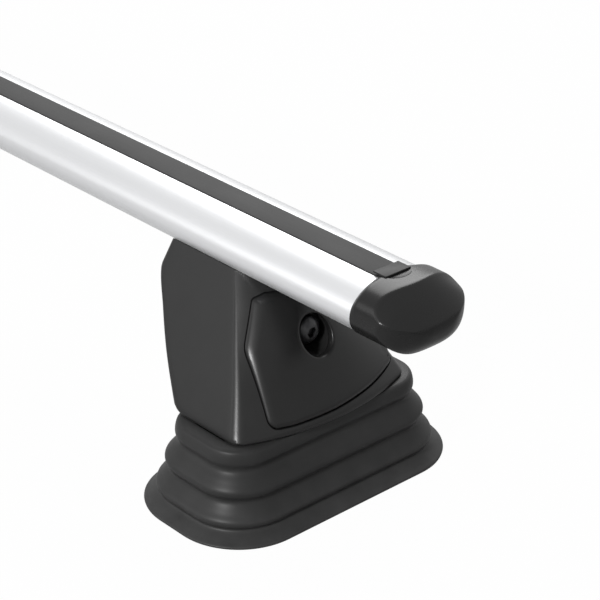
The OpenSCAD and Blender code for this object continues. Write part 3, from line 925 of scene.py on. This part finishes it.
def make_boot():
    recipe = Recipe("boot_sweep", Length=BOOT_LENGTH, Width=BOOT_WIDTH, Corner=BOOT_CORNER)
    path = recipe.add("GeometryNodeCurvePrimitiveQuadrilateral", {"mode": "RECTANGLE"},
                      recipe.given("Width"), recipe.given("Length"))
    path = recipe.add("GeometryNodeFilletCurve", {"mode": "POLY"}, path, Count=28,
                      Radius=recipe.given("Corner"))
    level = recipe.add("GeometryNodeSetCurveNormal", {"mode": "Z_UP"}, path)
    profile = recipe.add("GeometryNodeMeshToCurve", {}, recipe.given("Geometry"))
    swept = recipe.add("GeometryNodeCurveToMesh", {}, level, profile)
    profile_mesh = line_mesh("boot_profile", [(-p, -z, 0) for p, z in boot_profile()])
    return weld(recipe.run(swept, "boot_rubber", profile_mesh))


boot_shape = make_boot()
for axis, size in zip("XYZ", boot_shape.dimensions):
    print("boot's size along", axis, round(size, 1), "mm")
on_both_sides(boot_shape, "bellows_boot", "{side}_foot", "boot_rubber", "boot", 50)

# %% [markdown]
# ## The tower's skin
# Level by level, the tower has a bowed outer face, two cheeks and rounded corners, and all of
# them lean in over the roof. One function gives the section at a height, and a second one gives
# the outer face's place at any point, so the housing and its cover share one skin.

# %% Tower skin
# Each row is a height, the inner edge, the middle of the outer face and its corner
TOWER_LEVELS = [(41.5, -27, 31, 19.5), (44.5, -31, 30, 17.6), (62, -46, 22, 7.4),
                (78, -57.5, 14.4, -2.6), (94, -67.5, 3, -12), (TOWER_TOP, -65.5, -8, -20)]
LOW_CORNER, HIGH_CORNER = 8.5, 3.4


def corner_at(z):
    """Radius of the tower's upright corners, which is larger near its foot."""
    share = min(1.0, max(0.0, (z - TOWER_FOOT) / (TOWER_TOP - TOWER_FOOT)))
    return LOW_CORNER + (HIGH_CORNER - LOW_CORNER) * share ** 0.5


def tower_half(z):
    lean = (TOWER_LENGTH - TOWER_TOP_LENGTH) / 2 / (TOWER_TOP - TOWER_FOOT)
    return TOWER_LENGTH / 2 - lean * (z - TOWER_FOOT)


def tower_level(z):
    """Inner edge, middle of the outer face and outer corner at a height, blended smoothly."""
    last = len(TOWER_LEVELS) - 1
    index = max(i for i in range(last) if i == 0 or TOWER_LEVELS[i][0] <= z)
    low, high = TOWER_LEVELS[index], TOWER_LEVELS[index + 1]
    made = []
    for column in (1, 2, 3):
        if index == 0 or z >= high[0] or (column == 1 and index == last - 1):
            share = (z - low[0]) / (high[0] - low[0])
            made.append(low[column] + (high[column] - low[column]) * share)
        else:
            made.append(blend(TOWER_LEVELS, z, column, first=1))
    return made


def tower_skin(grow):
    """A function that gives x on the outer face, at a distance grow outside the skin."""
    def place(y, z):
        _, mid, corner = tower_level(min(max(z, TOWER_FOOT), TOWER_TOP))
        half = tower_half(z) + grow
        bow = mid - corner
        radius = (half * half + bow * bow) / (2 * bow)
        y = min(abs(y), half - 0.01)
        centre = mid + grow - radius
        x = centre + sqrt(max(radius ** 2 - y * y, 0))
        turn = corner_at(z)
        turn_x = centre + sqrt((radius - turn) ** 2 - (half - turn) ** 2)
        if y > half - turn and x > turn_x:
            return min(x, turn_x + sqrt(max(turn ** 2 - (y - half + turn) ** 2, 0)))
        return x
    return place


def tower_ring(z, grow=0.0, arc_count=44, turn_count=10, line_count=14):
    """The tower's section at a height, from the outer face round by the cheeks."""
    inner, mid, corner = tower_level(z)
    half = tower_half(z) + grow
    bow = mid - corner
    radius = (half * half + bow * bow) / (2 * bow)
    centre = mid + grow - radius
    turn = corner_at(z)
    y = half - turn
    x = centre + sqrt((radius - turn) ** 2 - y * y)
    edge = atan2(y, x - centre)
    inner -= grow
    back = inner + turn
    along = [i / line_count for i in range(1, line_count + 1)]
    ring = arc(centre, 0, radius, -edge, edge, arc_count)
    ring += arc(x, y, turn, edge, pi / 2, turn_count, 1)
    ring += [(x + (back - x) * share, half) for share in along]
    ring += arc(back, y, turn, pi / 2, pi, turn_count, 1)
    ring += [(inner, y - 2 * y * share) for share in along]
    ring += arc(back, -y, turn, pi, pi * 1.5, turn_count, 1)
    ring += [(back + (x - back) * share, -half) for share in along]
    ring += arc(x, -y, turn, -pi / 2, -edge, turn_count, 1)[:-1]
    return [(ring_x, ring_y, z) for ring_x, ring_y in ring]


def tower_solid(name, grow, z0, z1, levels=36, rounding=()):
    rings = [tower_ring(z0 + fall, grow - shrink) for fall, shrink in rounding]
    start = z0 + (rounding[-1][0] if rounding else 0)
    rings += [tower_ring(start + (z1 - start) * i / levels, grow)
              for i in range(1 if rounding else 0, levels + 1)]
    return loft(name, rings)


print("skin at mid height", round(tower_skin(0)(0, 74), 1), "mm from the foot's middle")

# %% [markdown]
# ## The tower housing
# The shell is lofted from those sections, hollowed, and cut for the bar, the cover, the clamp
# screw and the screws that hold it. The cuts are Boolean modifiers with closed cutters that
# follow the skin, and each is applied at once. The foot's edge is rounded before the cuts.

# %% Tower housing
# Each corner of the cover's outline has a y, a height and a radius
COVER_CORNERS = [(-15, 98, 3), (-20.5, 96, 3.5), (-32.6, 77, 15), (-36.2, 46.4, 3.5),
                 (-25, 45.9, 8), (0, 46.6, 20), (25, 48.2, 20), (46.8, 50.2, 4),
                 (46.5, 58, 6), (34.5, 77, 6), (20.5, 96, 3.5), (15, 98, 3)]
GROOVE, HEAD_X, COVER_SEAT = 0.6, WALL_X + 3, 2.1
CUP, BORE = RECESS + 3.2, 13.1
# The posts take the housing's screws: their places, and the widths of post, bore and head
POST_PLACES = [(sign * 9, 61) for sign in (-1, 1)]
POST, POST_BORE, POST_HEAD = 9, 4.2, 7.6
# Each pair is a height over the foot's edge, and how far the skin is drawn in there
EDGE_ROUND = [(0.0, 2.2), (0.25, 1.3), (0.8, 0.6), (1.7, 0.15), (3.0, 0.0)]


def cover_line(grow=0.0):
    return inset(even(rounded(COVER_CORNERS), 2.0), -grow)


def bar_space(grow):
    """The bar's outline made larger, drawn through the whole foot."""
    wide, high = BAR_WIDTH / 2 + grow, BAR_HEIGHT / 2 + grow
    return loft("bar_space", [[(x, wide * y, BAR_AXIS + high * z)
                               for y, z in circle(0, 0, 2, 144)] for x in (-90, PAST)])


def past_foot(y, z):
    """The x of a flat surface past the foot's outer side."""
    return PAST


def make_housing():
    frame_top = BAR_AXIS - BAR_HEIGHT / 2 - SEAT_GAP - TOWER_WALL
    shell = tower_solid("housing", 0, TOWER_FOOT, TOWER_TOP, rounding=EDGE_ROUND)
    hollow = tower_solid("hollow", -TOWER_WALL, TOWER_FOOT - 1, frame_top, 24)
    kept = [slab("floor", cover_line(TOWER_WALL), tower_skin(-COVER_THICK - COVER_SEAT),
                 past_foot),
            round_bar("cup", WALL_X, CUP, 0, SCREW_Z)]
    kept += [round_bar("post", WALL_X, POST, *place, 32) for place in POST_PLACES]
    cut(hollow, "DIFFERENCE", *kept)
    seat = slab("seat", cover_line(GROOVE), tower_skin(-COVER_THICK - SEAT_GAP), past_foot)
    tools = [hollow, seat, bar_space(SEAT_GAP),
             round_bar("recess", HEAD_X, RECESS, 0, SCREW_Z),
             round_bar("bore", WALL_X - 1, BORE, 0, SCREW_Z),
             box_between("window", (WALL_X + 0.01, -10, 48.5), (PAST, 10, 55)),
             box_between("neck", (-40.5, -4.5, frame_top - 1), (-21.5, 4.5, 200))]
    for place in POST_PLACES:
        tools += [round_bar("post_bore", WALL_X - 1, POST_BORE, *place, 24),
                  round_bar("post_head", WALL_X + 8, POST_HEAD, *place, 32)]
    return cut(shell, "DIFFERENCE", *tools)


on_both_sides(make_housing(), "tower_shell", "{side}_foot", "tower_plastic", "tower_housing", 28)

# %% [markdown]
# ## The front cover
# The cover clips over the tower's outer face. Its outline is drawn from the end of the bar, and
# filled with small triangles that are lifted onto the skin. Rings near the outline drop away
# step by step, which gives the broad rounded rim that catches a line of light.

# %% Front cover
# Each pair is a distance inside the edge, and how far the face has dropped there
COVER_RIM = [(0.0, 1.9), (0.2, 1.4), (0.6, 0.95), (1.2, 0.55), (1.8, 0.27), (2.4, 0.09),
             (3.0, 0.0)]
HOLE_RIM = [(0.0, 1.0), (0.15, 0.6), (0.45, 0.3), (0.9, 0.1), (1.4, 0.0)]


def make_cover():
    cover = slab("cover", cover_line(), tower_skin(-COVER_THICK), tower_skin(COVER_PROUD),
                 holes=[circle(0, SCREW_Z, COVER_HOLE, 72)], spacing=2.4, rim=COVER_RIM,
                 hole_rim=HOLE_RIM)
    return cut(cover, "DIFFERENCE", bar_space(2 * SEAT_GAP))


on_both_sides(make_cover(), "clip_cover", "{side}_cover", "cover_plastic", "front_cover", 35)

# %% [markdown]
# ## The clamp screw
# A socket screw is turned, so its outline goes round an axis, and its hexagon is cut with a
# Boolean. Its thread repeats, so Geometry Nodes make it: a small profile on a spiral.

# %% Clamp screw
SCREW_RADIUS, SCREW_LENGTH, SCREW_PITCH, SCREW_KEY = 3.0, 25, 1.0, 5
# Each pair is a distance past the head's lower face, and a radius
SCREW_HEAD = [(0, 6.67), (0.2, 7.01), (1.6, 7.01), (2.6, 6.8), (3.6, 6.33), (4.6, 5.54),
              (5.4, 4.63), (5.85, 3.95), (6, 3.62)]


def turned(name, outline, count=72):
    """Turn an outline of x and radius round the X axis, with closed ends."""
    return loft(name, [[(x, y, z) for y, z in circle(0, 0, 2 * r, count)] for x, r in outline])


def thread(name, radius, pitch, length, finish):
    """A thread along X from the origin, as a three-sided profile on a spiral."""
    recipe = Recipe(name, Radius=radius, Pitch=pitch, Length=length, Steps=24)
    spiral = recipe.add("GeometryNodeCurveSpiral", {}, recipe.given("Steps"),
                        recipe.given("Length") / recipe.given("Pitch"),
                        recipe.given("Radius"), recipe.given("Radius"), recipe.given("Length"))
    crest = recipe.add("GeometryNodeMeshToCurve", {}, recipe.given("Geometry"))
    swept = recipe.add("GeometryNodeCurveToMesh", {}, spiral, crest, Fill_Caps=True)
    turned_round = recipe.add("GeometryNodeTransform", {}, swept, Rotation=(0, pi / 2, 0))
    depth = pitch * 0.42
    profile = line_mesh("crest", [(-depth, -depth, 0), (depth * 0.6, 0, 0), (-depth, depth, 0)])
    return recipe.run(turned_round, finish, profile)


def make_screw():
    """A hex socket screw along X: its thread starts at 0, and its head is past its length."""
    radius, length, core = SCREW_RADIUS, SCREW_LENGTH, SCREW_RADIUS - 0.32
    outline = [(0, core - 0.7), (0.6, core), (length - 3.6, core), (length - 3.4, core),
               (length - 3, radius), (length - 0.2, radius), (length, radius + 0.1)]
    screw = turned("clamp", outline + [(length + x, r) for x, r in SCREW_HEAD])
    key = SCREW_KEY / cos(radians(30))
    rings = [[(x, y * share, z * share) for y, z in circle(0, 0, key, 6)]
             for x, share in ((length + 2.4, 0.05), (length + 3, 1.0), (length + 7, 1.0))]
    cut(screw, "DIFFERENCE", loft("key", rings))
    spiral = thread("screw_thread", radius, SCREW_PITCH, length - 4.4, "black_screw")
    join(screw, spiral, (0.4, 0, 0))
    screw.data.transform(Matrix.Translation((HEAD_X - length, 0, SCREW_Z)))
    return screw


def join(target, other, shift):
    """Add another object's mesh to a target's, moved by a shift."""
    other.data.transform(Matrix.Translation(shift))
    work = bmesh.new()
    work.from_mesh(target.data)
    work.from_mesh(other.data)
    work.to_mesh(target.data)
    work.free()
    drop(other)


on_both_sides(make_screw(), "socket_head_screw", "{side}_screw", "black_screw", "clamp_screw")

# %% [markdown]
# ## What stays as drawn
# The parts inside the foot, such as the pressed frame, the plates, the wedge and the bolts,
# already have their right shape, so each only gets its finish.

# %% Finishes of the carried-over parts
KEPT = {
    "tower_frame": "frame_steel", "base_plate": "plated_steel", "base_pad": "pad_rubber",
    "frame_bolts": "plated_steel", "housing_screws": "plated_steel",
    "clamp_washer": "plated_steel", "wedge": "cast_zinc", "anchor": "cast_zinc",
    "roof_screw": "plated_steel", "roof_washer": "plated_steel"}


def give_finish(node, finish):
    """Put a finish on every material slot of a node, or on a new one."""
    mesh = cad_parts[node].data
    for index in range(len(mesh.materials)):
        mesh.materials[index] = FINISHES[finish]
    if not mesh.materials:
        mesh.materials.append(FINISHES[finish])


for side_name in SIDES:
    for part, finish_name in KEPT.items():
        give_finish(f"{side_name}_{part}", finish_name)
print("carried over", 2 * len(KEPT))
